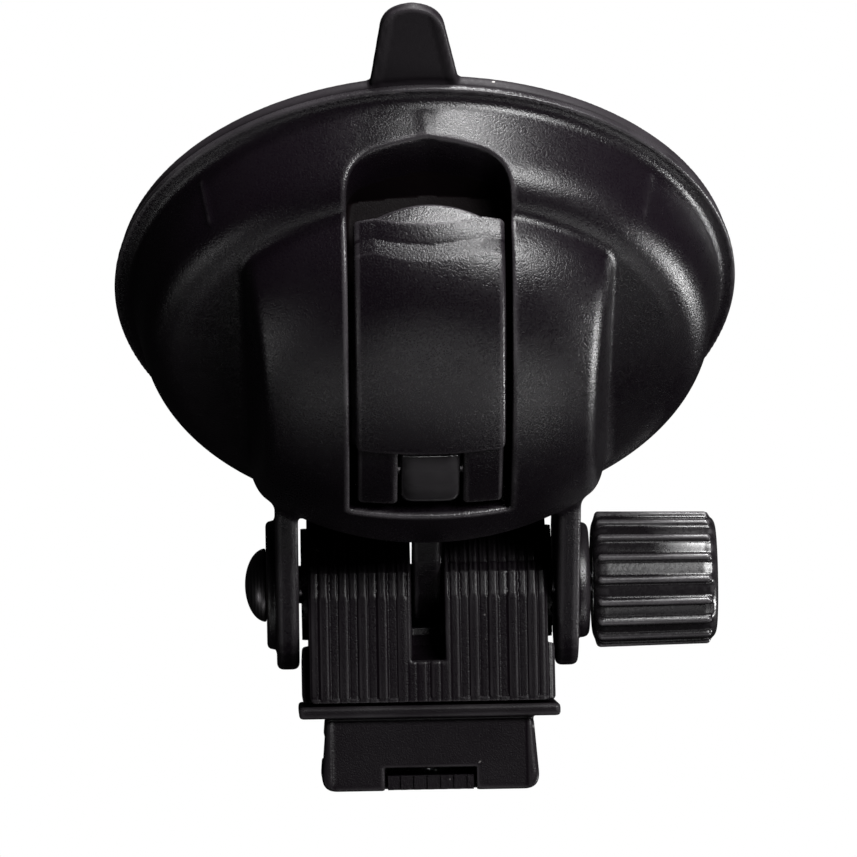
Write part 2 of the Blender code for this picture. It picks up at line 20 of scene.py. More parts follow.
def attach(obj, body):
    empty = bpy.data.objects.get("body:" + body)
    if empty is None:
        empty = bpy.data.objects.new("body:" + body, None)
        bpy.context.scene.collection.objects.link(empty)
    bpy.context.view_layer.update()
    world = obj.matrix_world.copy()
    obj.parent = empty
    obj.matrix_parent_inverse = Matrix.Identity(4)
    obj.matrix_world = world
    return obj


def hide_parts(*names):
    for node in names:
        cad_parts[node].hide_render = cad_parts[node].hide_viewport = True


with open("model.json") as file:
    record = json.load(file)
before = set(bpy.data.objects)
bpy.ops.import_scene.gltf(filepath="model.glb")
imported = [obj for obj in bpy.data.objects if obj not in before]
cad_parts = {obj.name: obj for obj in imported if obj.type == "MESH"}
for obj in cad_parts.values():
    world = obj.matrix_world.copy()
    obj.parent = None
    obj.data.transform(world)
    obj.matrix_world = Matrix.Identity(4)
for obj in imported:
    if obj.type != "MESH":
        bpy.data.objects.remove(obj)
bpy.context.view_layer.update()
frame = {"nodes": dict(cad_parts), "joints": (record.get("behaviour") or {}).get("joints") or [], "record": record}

MM = 0.001
JOINTS = {j["name"]: j for j in frame["joints"]}
GLASS_RAKE = 52.5  # degrees that the glass leans from the vertical
CUP_TO_WORLD = Matrix.Rotation(math.radians(90 + GLASS_RAKE), 4, "X")
AXLE_TO_WORLD = Matrix.Translation(Vector([c / MM for c in JOINTS["adapter_tilt"]["pos_m"]]))


def in_cup(joint):
    """(y, z) of a joint's axis in the cup's frame, to a hundredth of a millimetre."""
    place = CUP_TO_WORLD.inverted() @ (Vector(JOINTS[joint]["pos_m"]) / MM)
    return round(place.y, 2), round(place.z, 2)


# ---------------------------------------------------------------- dimensions (millimetres)

FAR = 40.0  # past every piece, for the open side of an outline

# in the cup's frame
AXLE_Y, AXLE_Z = in_cup("adapter_tilt")
PIN_Y, PIN_Z = in_cup("lever_swing")
COVER_FOOT = 1.6
FLANGE_TOP, FLANGE_R = 2.4, 32.0
BELL_FOOT_R, BELL_LEAN = 30.45, 0.215
BELL_TOP, BELL_TOP_R, BELL_FALL = 12.0, 25.3, 0.17
HUB_R, HUB_BASE, HUB_RISE, HUB_POWER = 25.2, 11.8, 14.2, 1.95
HUB_HALF, HUB_LEAN = 18.75, 0.19
EAR_R, EAR_INSIDE, EAR_OUTSIDE = 9.0, 13.5, 15.9
EAR_BOSS_R_LEFT, EAR_BOSS_R_RIGHT, EAR_BOSS_END = 6.8, 6.1, 17.2
TONGUE_R, TONGUE_HALF = 4.2, 1.45
TROUGH_HALF, TROUGH_FLOOR, TROUGH_BACK = 8.25, 14.7, -9.5
LEVER_HALF, LEVER_END, LEVER_UNDER, LEVER_SUNK = 7.6, 24.55, 22.4, 0.12
LIP_FOOT = 13.8
FORK_INSIDE, FORK_OUTSIDE = 3.35, 7.55
STEM_HALF, STEM_ROD_R, STEM_PLATE_R = 3.05, 2.6, 12.2
CUP_R, CUP_LIP = 31.65, 1.35
CUP_COLLAR_R, CUP_BOSS_R, CUP_POCKET_R = 27.2, 16.3, 12.7
TAB_TIP, TAB_TIP_HALF, TAB_FOOT_HALF = 42.9, 2.85, 4.4

# in the axle's frame
BOLT_HOLE_R = 2.3
BLOCK_R, BLOCK_HALF, BLOCK_FOOT = 7.9, 12.55, -12.4
SLOT_HALF, SLOT_R = 1.75, 8.05
RIB_PITCH = 2.04
RING_R, RING_INSIDE = 6.2, 11.9
PLATE_HALF, PLATE_TOP, PLATE_FOOT = 13.7, -12.7, -14.0
SHOE_HALF, SHOE_FLARE, SHOE_FOOT, SHOE_DEPTH = 10.9, 0.5, -21.7, 8.0
SHOE_GROOVE_FROM, SHOE_GROOVE_LOW, SHOE_GROOVE_HIGH = 10.5, -18.6, -16.2
SCREW_X, SCREW_WELL_R = 7.7, 2.4
KNOB_R, KNOB_START, KNOB_END = 6.78, 17.5, 30.6
KNOB_RIBS, KNOB_RIB_R, KNOB_RIB_HALF, KNOB_RIB_RISE = 18, 7.1, 0.38, 0.5
INSERT_HEAD_END, INSERT_HEAD_R, INSERT_R, INSERT_END = 19.6, 5.2, 3.7, 27.0
HEAD_X, HEAD_R, SHANK_START, SHANK_END, SHANK_R = -16.9, 3.9, -17.6, 25.5, 2.0


# ---------------------------------------------------------------- distance fields


def smax(a, b, k):
    """The larger of two distances, with the edge between them rounded over about k."""
    h = np.maximum(k - np.abs(a - b), 0) / k
    return np.maximum(a, b) + h * h * k * 0.25


def smin(a, b, k):
    """The smaller of two distances, with the corner between them filled over about k."""
    return -smax(-a, -b, k)


def step(low, high, t):
    """0 before low and 1 past high, with a smooth rise between them."""
    s = np.clip((t - low) / (high - low), 0, 1)
    return s * s * (3 - 2 * s)


def bump(centre, width, t):
    """A smooth hump of height 1."""
    return np.exp(-(((t - centre) / width) ** 2))


def square_to(slope):
    """What turns a distance along an axis into one square to a face that slopes off it."""
    return round(1 / math.hypot(1, slope), 3)


def polygon(outline, a, b):
    """Signed distance in the (a, b) plane to a closed outline."""
    a, b = np.broadcast_arrays(a, b)
    best = np.full(a.shape, 1e9, np.float32)
    inside = np.zeros(a.shape, bool)
    for (a0, b0), (a1, b1) in zip(outline, outline[1:] + outline[:1]):
        ea, eb = a1 - a0, b1 - b0
        wa, wb = a - a0, b - b0
        t = np.clip((wa * ea + wb * eb) / (ea * ea + eb * eb), 0, 1)
        best = np.minimum(best, (wa - t * ea) ** 2 + (wb - t * eb) ** 2)
        if eb != 0:
            crosses = ((b0 > b) != (b1 > b)) & (a < (b - b0) * ea / eb + a0)
            inside ^= crosses
    return np.where(inside, -1, 1) * np.sqrt(best)


def slab(t, low, high):
    """Signed distance to the space between two parallel planes."""
    return np.abs(t - (low + high) / 2) - (high - low) / 2


def block(x, y, z, low, high, k):
    """A box between two corners, its edges rounded over about k."""
    d = smax(slab(x, low[0], high[0]), slab(y, low[1], high[1]), k)
    return smax(d, slab(z, low[2], high[2]), k)


def arc(centre, radius, start, end, steps):
    """Points along an arc. The angles are in degrees."""
    angles = np.radians(np.linspace(start, end, steps + 1))
    return [(centre[0] + radius * math.cos(t), centre[1] + radius * math.sin(t)) for t in angles]


def circle(centre, radius):
    """Points round a whole circle."""
    return arc(centre, radius, 0, 350, 35)


def hull(points):
    """The convex outline round some points."""
    ordered = sorted(set(points))

    def turn(o, a, b):
        return (a[0] - o[0]) * (b[1] - o[1]) - (a[1] - o[1]) * (b[0] - o[0])

    def half(sequence):
        kept = []
        for p in sequence:
            while len(kept) > 1 and turn(kept[-2], kept[-1], p) <= 0:
                kept.pop()
            kept.append(p)
        return kept[:-1]

    return half(ordered) + half(ordered[::-1])


# ---------------------------------------------------------------- the cover, lever, stem and cup


def dome(rho, z):
    """The hub's dome: a superellipse of revolution above its base, a cylinder below."""
    height = np.maximum(z - HUB_BASE, 1e-4)
    a, b = np.maximum(rho, 1e-4) / HUB_R, height / HUB_RISE
    g = (a**HUB_POWER + b**HUB_POWER) ** (1 / HUB_POWER)
    steepness = np.sqrt(
        (a ** (HUB_POWER - 1) / HUB_R) ** 2 + (b ** (HUB_POWER - 1) / HUB_RISE) ** 2
    )
    return (g - 1) / (g ** (1 - HUB_POWER) * steepness)


def ear_side(y, z):
    """An ear from the side: round at the axle, and wider where it leaves the bell."""
    root = [(-24.0, 5.2), (-16.0, 17.6)]
    return polygon(hull(circle((AXLE_Y, AXLE_Z), EAR_R) + root), y, z)


def tongue_side(y, z):
    """The tongue between the adapter's knuckles, from the side."""
    root = [(-26.0, 9.0), (-22.0, 14.6)]
    return polygon(hull(circle((AXLE_Y, AXLE_Z), TONGUE_R) + root), y, z)


def lever_trough(x, y, z):
    """The space the lever lies in, open through the bell's wall towards the tab."""
    arch = (0.13 * np.sqrt(x * x + 0.3) + 0.009 * x * x) * step(16, 25, y)
    above = 32
    outline = [(FAR, 6.3), (24, 6.5), (20.6, 6.8), (15.0, 14.4), (14, TROUGH_FLOOR)]
    outline += [(TROUGH_BACK, TROUGH_FLOOR), (TROUGH_BACK, above), (FAR, above)]
    corner = 0.6 + 2.6 * step(19, 25, y)
    return smax(polygon(outline, y, z - arch), np.abs(x) - TROUGH_HALF, corner)


def bell(rho, x, y, z):
    """The cover's bell with its low ribs: a leaning wall, a falling top and a wide round edge."""
    azimuth = np.abs(np.arctan2(x, y))
    ribs = 0.17 * bump(0, 0.030, azimuth) + 0.10 * bump(math.radians(49), 0.016, azimuth)
    ribs = ribs * step(3.0, 4.2, z) * (1 - step(8.2, 9.6, z))
    wall = rho - ribs - (BELL_FOOT_R - BELL_LEAN * (z - FLANGE_TOP))
    top = z - (BELL_TOP - BELL_FALL * (rho - BELL_TOP_R))
    return smax(wall * square_to(BELL_LEAN), top * square_to(BELL_FALL), 3.4)


def cover_field(x, y, z):
    """The bell, its flange, the domed hub with flat sides, the ears, the tongue and the bosses."""
    rho = np.sqrt(x * x + y * y)
    flange = smax(rho - FLANGE_R, slab(z, COVER_FOOT, FLANGE_TOP), 0.35)
    cover = smin(smax(bell(rho, x, y, z), COVER_FOOT - z, 0.3), flange, 1.3)
    flats = np.abs(x) - (HUB_HALF - HUB_LEAN * (z - BELL_TOP))
    hub = smax(dome(rho, z), flats * square_to(HUB_LEAN), 1.1)
    cover = smin(cover, smax(hub, 8.0 - z, 0.3), 0.9)
    ears = smax(ear_side(y, z), slab(np.abs(x), EAR_INSIDE, EAR_OUTSIDE), 0.8)
    cover = smin(cover, ears, 0.9)
    cover = smin(cover, smax(tongue_side(y, z), np.abs(x) - TONGUE_HALF, 0.5), 0.8)
    reach = np.sqrt((y - AXLE_Y) ** 2 + (z - AXLE_Z) ** 2)
    left = smax(reach - EAR_BOSS_R_LEFT, slab(x, HEAD_X, -14.0), 0.7)
    right = smax(reach - EAR_BOSS_R_RIGHT, slab(x, 14.0, EAR_BOSS_END), 0.9)
    cover = smin(smin(cover, left, 0.3), right, 0.5)
    cover = smax(cover, -lever_trough(x, y, z), 0.5)
    window = block(x, y, z, (-3.35, -8.8, 9.0), (3.35, 3.0, 17.0), 0.4)
    cover = smax(cover, -window, 0.2)
    return smax(cover, BOLT_HOLE_R - reach, 0.3)


def trough_end(x, y, z):
    """The part of the trough behind the lever's tip, deep inside its rim."""
    rim = smax(dome(np.sqrt(x * x + y * y), z) + 1.2, 12.0 - y, 0.1)
    return np.maximum(lever_trough(x, y, z), rim)


def tip_cut(y, bowed):
    """How far the lever's tip is cut below the dome: less than nothing at its lip, then an eye."""
    places = [13.0, 13.5, 13.7, 13.9, 15.3, 15.7, 17.2]
    depths = [-0.2, -0.2, 0.05, -0.16, 0.18, 0.3, 0.0]
    return step(20.5, 22.5, y) * np.interp(bowed, places, depths)


def lever_field(x, y, z):
    """The lever: a plate that follows the dome, over a fork with two round cams."""
    shell = dome(np.sqrt(x * x + y * y), z)
    bow = np.minimum(x * x, 30.0)
    bowed = z + 0.035 * bow
    dish = 0.35 * bump(0, 5.5, y - 13.5) * bump(0, 6.5, x)
    face = shell + LEVER_SUNK + dish + tip_cut(y, bowed)
    end = (y - LEVER_END + 0.012 * x * x) + 0.25 * step(13.6, 14.2, bowed)
    end = np.where(bowed < LIP_FOOT, end, end - 0.6)
    top = smax(face, end, 0.18)
    past_tip = 27
    under = [(past_tip, 11.05), (22.2, 11.05), (20.2, 14.4), (14.5, 19.4), (8.5, 21.6)]
    under += [(2.1, LEVER_UNDER), (2.1, FAR), (past_tip, FAR)]
    plate = smax(top, polygon(under, y, z - 0.05 * bow * step(20, 24, y)), 0.4)
    arm = circle((PIN_Y, PIN_Z), 4.2) + circle((PIN_Y, PIN_Z - 1.3), 4.3)
    arm += [(4.5, PIN_Z - 2.4), (4.5, PIN_Z + 3.4)]
    arms = smax(polygon(hull(arm), y, z), slab(np.abs(x), FORK_INSIDE, FORK_OUTSIDE), 0.6)
    arms = smax(arms, shell + 0.55, 0.5)
    return smax(smin(plate, arms, 0.35), np.abs(x) - LEVER_HALF, 0.6)


def stem_field(x, y, z):
    """The stem: a rounded head in the lever's fork, a rod and the plate inside the cup."""
    rho = np.sqrt(x * x + y * y)
    head = circle((PIN_Y, PIN_Z), 4.0) + [(-8.5, 14.4), (2.7, 14.4), (1.5, PIN_Z + 3.6)]
    top = smax(polygon(hull(head), y, z), np.abs(x) - STEM_HALF, 1.3)
    top = smax(top, dome(rho, z) + 0.35, 1.2)
    rod = smax(rho - STEM_ROD_R, slab(z, 4.0, 15.6), 0.3)
    plate = smax(rho - STEM_PLATE_R, slab(z, 3.5, 4.9), 0.4)
    return smin(smin(top, rod, 0.4), plate, 0.8)


def cup_field(x, y, z):
    """The rubber cup: a lip on the glass, its pull tab, and a boss with the plate's pocket."""
    rho = np.sqrt(x * x + y * y)
    disc = smax(rho - CUP_R, slab(z, 0, CUP_LIP), 0.7)
    aside = np.abs(x + 1.25 + 0.03 * (y - 34))
    half = TAB_TIP_HALF + (TAB_FOOT_HALF - TAB_TIP_HALF) * np.clip((42.5 - y) / 11.0, 0, 1.3)
    blade = smax(smax(aside - half, y - TAB_TIP, 3.2), 28.0 - y, 0.5)
    crown = 0.12 * step(0.6, 1.4, half - aside)
    tab = smax(blade, slab(z, 0, 1.22 - crown), 0.35)
    collar = smax(rho - CUP_COLLAR_R, slab(z, 0.3, 3.0), 0.5)
    boss = smin(collar, smax(rho - CUP_BOSS_R, slab(z, 0.3, 5.1), 0.3), 0.4)
    cup = smin(smin(disc, tab, 0.3), boss, 0.8)
    cup = smax(cup, -smax(rho - CUP_POCKET_R, 1.5 - z, 0.2), 0.3)
    return smax(cup, 0.002 - z, 0.02)


# ---------------------------------------------------------------- the knob, bolt, adapter and shoe


def knob_field(x, y, z):
    """The knob: a slightly tapered barrel with ribs, a rim, a dished end and a stepped bore."""
    rho = np.sqrt(y * y + z * z)
    around = np.arctan2(z, y) * KNOB_RIBS / (2 * math.pi)
    across = np.abs(around - np.round(around)) * 2 * math.pi / KNOB_RIBS * KNOB_RIB_R
    body = KNOB_R * (1 - 0.0026 * (x - 18)) + 0 * y
    ribs = smax(across - KNOB_RIB_HALF, rho - body - KNOB_RIB_RISE, 0.45)
    ribs = smax(ribs, slab(x, 17.9, 30.0), 0.5)
    barrel = smax(rho - body, slab(x, KNOB_START, KNOB_END), 1.6)
    rim = smax(rho - body + 0.1, slab(x, 29.3, KNOB_END), 1.2)
    shape = smin(smin(barrel, ribs, 0.35), rim, 0.3)
    dish = smax(rho - 4.6, 30.3 - x, 0.3)
    shape = smax(shape, -dish, 0.3)
    bore = rho - np.where(x < INSERT_HEAD_END, INSERT_HEAD_R, INSERT_R)
    return smax(shape, -smax(bore, x - INSERT_END, 0.2), 0.2)


def bolt_field(x, y, z):
    """The hinge bolt: a low domed head and its shank."""
    rho = np.sqrt(y * y + z * z)
    flatness = 3.0
    head = np.sqrt((x - HEAD_X) ** 2 * flatness + rho * rho) - HEAD_R
    head = smax(head * 0.7, x - HEAD_X, 0.2)
    shank = smax(rho - SHANK_R, slab(x, SHANK_START, SHANK_END), 0.3)
    return smin(head, shank, 0.3)


def adapter_side(y, z):
    """The adapter from the side: round over the bolt, a shoulder in front, a straight body."""
    shoulder = [(-8.45, 1.3), (-8.88, -1.05), (-8.9, -1.2)]
    foot = [(-8.9, BLOCK_FOOT), (9.4, BLOCK_FOOT)]
    back = [(9.4, -3.0), (7.9, -1.0)]
    return polygon(arc((0, 0), BLOCK_R, 0, 164, 40) + shoulder + foot + back, y, z)


def front_ribs(x, y, z):
    """How deep the front is cut: grooves between upright ribs, with a fine seam beside each."""
    along = (np.abs(x) - SLOT_HALF) / RIB_PITCH
    band = np.abs(along - np.round(along)) * RIB_PITCH
    front = step(-3.0, -5.5, y)
    groove = 0.12 * (1 - step(0.42, 0.58, band)) * step(0.2, 0.9, np.abs(along))
    groove = groove * np.where(z > BLOCK_FOOT + 0.5, 1.0, 0.0) * front
    seam = (0.04 + 0.11 * step(-1.7, -1.0, z)) * bump(0, 0.13, band - 0.51) * front
    return groove, seam


def adapter_field(x, y, z):
    """The adapter's block: ribbed front, wider cheeks at its foot and a slot for the tongue."""
    groove, seam = front_ribs(x, y, z)
    body = smax(adapter_side(y, z) + groove + seam, np.abs(x) - BLOCK_HALF, 0.6)
    cheek = polygon([(-7.0, BLOCK_FOOT), (8.4, BLOCK_FOOT), (8.4, -7.9), (-6.2, -6.4)], y, z)
    body = smin(body, smax(cheek, np.abs(x) - 13.3, 0.5), 0.3)
    ahead = -14
    sweep = arc((0, 0), SLOT_R, -36, 95, 30) + [(ahead, 12), (ahead, -4.75)]
    bed = [(ahead, -8.0), (-6.4, -8.0), (-4.6, -7.5), (-3.3, -6.6), (-2.5, -5.5), (-2.2, -4.2)]
    bed += [(ahead, -4.2)]
    slot = np.minimum(polygon(sweep, y, z), polygon(bed, y, z))
    body = smax(body, -smax(slot, np.abs(x) - SLOT_HALF, 0.35), 0.4)
    reach = np.sqrt(y * y + z * z)
    body = smax(body, -smax(reach - RING_R, RING_INSIDE - np.abs(x), 0.2), 0.3)
    return smax(body, BOLT_HOLE_R - reach, 0.2)


def shoe_field(x, y, z):
    """The camera's shoe: a flange over a foot, with a front recess, side grooves and a pocket."""
    plate_low, plate_high = (-PLATE_HALF, -9.7, PLATE_FOOT), (PLATE_HALF, 10.2, PLATE_TOP)
    plate = block(x, y, z, plate_low, plate_high, 0.45)
    half = SHOE_HALF + SHOE_FLARE * np.clip((PLATE_FOOT - z) / 6.0, 0, 1)
    foot = smax(np.abs(x) - half, slab(z, SHOE_FOOT, -13.3), 1.6)
    foot = smax(foot, np.abs(y) - SHOE_DEPTH, 0.7)
    shoe = smin(plate, foot, 0.5)
    recess = block(x, y, z, (-10.3, -12.0, -26.0), (10.3, -7.88, -14.05), 0.3)
    shoe = smax(shoe, -recess, 0.2)
    groove = smax(SHOE_GROOVE_FROM - np.abs(x), slab(z, SHOE_GROOVE_LOW, SHOE_GROOVE_HIGH), 0.3)
    shoe = smax(shoe, -smax(groove, -6.4 - y, 0.3), 0.3)
    pocket = block(x, y, z, (-4.8, -12.0, -24.0), (4.8, -3.0, -19.3), 0.2)
    shoe = smax(shoe, -pocket, 0.25)
    away = np.sqrt((np.abs(x) - SCREW_X) ** 2 + y * y)
    return smax(shoe, -smax(away - SCREW_WELL_R, z + 17.5, 0.2), 0.3)


# ---------------------------------------------------------------- from a field to a mesh

# The recess behind the lever's tip gets painted shade: a darker, barely glossy copy of the black.
RECESS_RIM = 0.25  # how far the recess's finish runs past the recess


def gradient(field, points, reach=0.02):
    """(unit gradient, distance) of the field at some points."""
    least_slope = 0.2
    centre = field(*points.T)
    slopes = []
    for axis in range(3):
        offset = np.zeros(3)
        offset[axis] = reach
        rise = field(*(points + offset).T) - field(*(points - offset).T)
        slopes.append(rise / (2 * reach))
    slopes = np.stack(slopes, 1)
    length = np.maximum(np.linalg.norm(slopes, axis=1), least_slope)
    return slopes / length[:, None], centre / length


def convexity(field, points, reach=0.22):
    """How sharply the surface bends outwards at some points: 0 where flat, 1 on an edge."""
    flat, edge = 0.5, 2.1
    total = -6 * field(*points.T)
    for axis in range(3):
        for sign in (-reach, reach):
            beside = points.copy()
            beside[:, axis] += sign
            total = total + field(*beside.T)
    return np.clip((total / reach**2 - flat) / (edge - flat), 0, 1).astype(np.float32)


def zero_surface(field, low, high, voxel):
    """(points, faces, unit normals) of the field's zero surface between two corners.

    The grid's own points are near the surface. Two steps along the gradient put them on it.
    """
    axes = [np.arange(lo, hi + voxel, voxel, dtype=np.float32) for lo, hi in zip(low, high)]
    x, y, z = axes[0][:, None, None], axes[1][None, :, None], axes[2][None, None, :]
    values = np.broadcast_to(field(x, y, z), tuple(len(a) for a in axes)).astype(np.float32)
    band = 3 * voxel
    grid = openvdb.FloatGrid(band)
    grid.copyFromArray(np.ascontiguousarray(np.clip(values, -band, band)))
    points, triangles, quads = grid.convertToPolygons(0.0, 0.0)
    points = points.astype(np.float64) * voxel + np.array([a[0] for a in axes], np.float64)
    for _ in range(2):
        normal, distance = gradient(field, points)
        points -= normal * np.clip(distance, -voxel, voxel)[:, None]
    faces = [tuple(q) for q in quads] + [tuple(t) for t in triangles]
    return points, faces, gradient(field, points)[0]


def skin(name, field, low, high, voxel, to_world, body, replaced, finish, recess=None):
    """Meshes a field, shades it by its gradient, and stands it in for the CAD node.

    Faces inside the recess, a second field, get a darker, barely glossy finish there: painted shade.
    """
    points, faces, normal = zero_surface(field, low, high, voxel)
    turned = to_world.to_3x3()
    mesh = bpy.data.meshes.new(name)
    mesh.from_pydata([to_world @ Vector(p) * MM for p in points], [], faces)
    mesh.update()
    sample = mesh.polygons[len(faces) // 2]
    if sample.normal.dot(turned @ Vector(normal[sample.vertices[0]])) < 0:
        mesh.flip_normals()
    mesh.shade_smooth()
    mesh.normals_split_custom_set_from_vertices([turned @ Vector(n) for n in normal])
    # Convexity mask: where the moulded finishes paint a highlight along the edges.
    edge = mesh.attributes.new("edge", "FLOAT", "POINT")
    edge.data.foreach_set("value", convexity(field, points))
    obj = bpy.data.objects.new(name, mesh)
    bpy.context.scene.collection.objects.link(obj)
    mesh.materials.append(finish)
    if recess is not None:
        inside, painted_shade_finish = recess
        mesh.materials.append(painted_shade_finish)
        # Faces deep in the trough take the darker finish that paints its shade.
        deep = inside(*points.T) < RECESS_RIM
        mesh.polygons.foreach_set("material_index", [int(deep[face[0]]) for face in faces])
    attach(obj, body)
    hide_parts(*replaced)


# ---------------------------------------------------------------- finishes


class Nodes:
    """A short way to add and join a material's nodes."""

    def __init__(self, name):
        self.material = bpy.data.materials.new(name)
        self.material.use_nodes = True
        self.tree = self.material.node_tree
        self.shader = self.tree.nodes["Principled BSDF"]
        self.where = self.add("ShaderNodeTexCoord").outputs["Object"]

    def add(self, kind, **settings):
        node = self.tree.nodes.new(kind)
        for key, value in settings.items():
            setattr(node, key, value)
        return node

    def join(self, a, b):
        self.tree.links.new(a, b)

    def noise(self, scale, detail=2.0, rough=0.5):
        node = self.add("ShaderNodeTexNoise")
        node.inputs["Scale"].default_value = scale
        node.inputs["Detail"].default_value = detail
        node.inputs["Roughness"].default_value = rough
        self.join(self.where, node.inputs["Vector"])
        return node.outputs["Fac"]

    def spread(self, source, in_low, in_high, low, high):
        """The source's range from in_low to in_high, stretched to run from low to high."""
        node = self.add("ShaderNodeMapRange")
        ends = {"From Min": in_low, "From Max": in_high, "To Min": low, "To Max": high}
        for key, value in ends.items():
            node.inputs[key].default_value = value
        self.join(source, node.inputs["Value"])
        return node.outputs["Result"]

    def mix(self, factor, a, b):
        """A mix of two colours, each a tuple or another node's output."""
        node = self.add("ShaderNodeMix", data_type="RGBA")
        self.join(factor, node.inputs["Factor"])
        for socket, value in ((node.inputs[6], a), (node.inputs[7], b)):
            if isinstance(value, tuple):
                socket.default_value = (*value, 1.0)
            else:
                self.join(value, socket)
        return node.outputs[2]

    def math(self, operation, a, b):
        node = self.add("ShaderNodeMath", operation=operation)
        self.join(a, node.inputs[0])
        self.join(b, node.inputs[1])
        return node.outputs[0]

    def bumped(self, height, distance, strength=1.0, after=None):
        """A bump, on top of another one if it is given."""
        node = self.add("ShaderNodeBump")
        node.inputs["Strength"].default_value = strength
        node.inputs["Distance"].default_value = distance
        self.join(height, node.inputs["Height"])
        if after is not None:
            self.join(after, node.inputs["Normal"])
        return node.outputs["Normal"]


DUST_TONE = (0.32, 0.31, 0.30)


def moulded(name, base, edge_highlight_tone, rough, grain, depth, specks=0.0, specular=0.24):
    """A moulded plastic or rubber: tone drift, painted highlights on its convex edges, dust, smudges and a fine
    grain.
    """
    n = Nodes(name)
    drift = n.spread(n.noise(55, 3), 0.3, 0.7, 0.0, 1.0)
    darker = tuple(c * 0.8 for c in base)
    tone = n.mix(drift, darker, base)
    # Convex edges get a lighter, patchy colour: a painted highlight that draws the thin bright lines along the
    # rims.
    edge = n.add("ShaderNodeAttribute", attribute_name="edge").outputs["Fac"]
    edge_highlight_mask = n.math("MULTIPLY", edge, n.spread(n.noise(130, 2), 0.35, 0.65, 0.35, 0.9))
    tone = n.mix(edge_highlight_mask, tone, edge_highlight_tone)
    dust = n.spread(n.noise(1100, 1, 0.4), 0.80, 0.83, 0.0, specks)
    tone = n.mix(dust, tone, DUST_TONE)
    n.join(tone, n.shader.inputs["Base Color"])
    fine = n.noise(grain, 2, 0.6)
    varied = n.spread(fine, 0.25, 0.75, rough - 0.07, rough + 0.07)
    smudge = n.spread(n.noise(85, 4, 0.6), 0.35, 0.7, -0.03, 0.05)
    n.join(n.math("ADD", varied, smudge), n.shader.inputs["Roughness"])
    soft = n.bumped(n.noise(grain * 0.22, 2), depth * 0.8, 0.35)
    n.join(n.bumped(fine, depth, 0.8, soft), n.shader.inputs["Normal"])
    n.shader.inputs["Specular IOR Level"].default_value = specular
    return n.material


def metal(name, base, stain, rough, turned_scale):
    """A turned metal: stains, and fine turning marks in its roughness."""
    n = Nodes(name)
    n.shader.inputs["Metallic"].default_value = 1.0
    tone = n.mix(n.spread(n.noise(140, 4), 0.35, 0.65, 0.0, 1.0), base, stain)
    n.join(tone, n.shader.inputs["Base Color"])
    marks = n.add("ShaderNodeTexWave", wave_type="BANDS", bands_direction="X")
    marks.inputs["Scale"].default_value = turned_scale
    marks.inputs["Distortion"].default_value = 1.5
    n.join(n.where, marks.inputs["Vector"])
    turned = n.spread(marks.outputs["Fac"], 0, 1, rough - 0.06, rough + 0.08)
    n.join(turned, n.shader.inputs["Roughness"])
    n.join(n.bumped(n.noise(2600, 2), 0.00001, 0.6), n.shader.inputs["Normal"])
    return n.material


def smoked(name):
    """The stem's smoky clear plastic."""
    n = Nodes(name)
    cloud = n.spread(n.noise(160, 3), 0.3, 0.7, 0.0, 1.0)
    tone = n.mix(cloud, (0.012, 0.011, 0.012), (0.030, 0.028, 0.030))
    n.join(tone, n.shader.inputs["Base Color"])
    n.join(n.spread(n.noise(700, 3), 0.3, 0.7, 0.12, 0.26), n.shader.inputs["Roughness"])
    n.shader.inputs["Transmission Weight"].default_value = 0.45
    n.shader.inputs["IOR"].default_value = 1.5
    n.join(n.bumped(n.noise(500, 2), 0.00003, 0.5), n.shader.inputs["Normal"])
    return n.material


def finishes():
    """The finish of each material slot, and the painted shade of the recess behind the lever's tip."""
    return {
        # Each finish's edge tone is the lighter colour painted on its convex edges as a highlight.
        "satin_black": moulded(
            "grained_satin_black", base=(0.0018, 0.0011, 0.0019), edge_highlight_tone=(0.022, 0.020, 0.022),
            rough=0.29, grain=5200, depth=0.000062,
        ),
        "fine_black": moulded(
            "satin_black", base=(0.0018, 0.0012, 0.0018), edge_highlight_tone=(0.012, 0.011, 0.012),
            rough=0.32, grain=6000, depth=0.00003, specks=0.2, specular=0.065,
        ),
        "gloss_black": moulded(
            "gloss_black", base=(0.004, 0.0034, 0.004), edge_highlight_tone=(0.03, 0.028, 0.03),
            rough=0.28, grain=3000, depth=0.000008, specks=0.15,
        ),
        # A darker, barely reflecting copy of the black: painted shade for the deep trough behind the lever's tip.
        "recess": moulded(
            "recess_painted_shade", base=(0.0016, 0.0010, 0.0012), edge_highlight_tone=(0.003, 0.002, 0.003),
            rough=0.5, grain=5600, depth=0.00004, specular=0.03,
        ),
        "rubber": moulded(
            "matte_rubber", base=(0.0036, 0.0026, 0.0036), edge_highlight_tone=(0.015, 0.013, 0.015),
            rough=0.55, grain=3600, depth=0.00002, specks=0.6, specular=0.14,
        ),
        "smoke": smoked("smoked_clear"),
        "steel": metal("zinc_steel", (0.62, 0.63, 0.65), (0.5, 0.5, 0.5), 0.34, 900),
        "black_steel": metal("black_steel", (0.10, 0.095, 0.10), (0.05, 0.048, 0.05), 0.36, 900),
        "brass": metal("turned_brass", (0.78, 0.58, 0.24), (0.55, 0.4, 0.2), 0.32, 1400),
        "acetal": moulded(
            "black_acetal", base=(0.006, 0.0055, 0.006), edge_highlight_tone=(0.02, 0.019, 0.02),
            rough=0.45, grain=3000, depth=0.00001,
        ),
    }


# ---------------------------------------------------------------- light, floor and camera

MIDDLE = Vector((0, 0, -0.015))
FULL_DISTANCE = 0.85

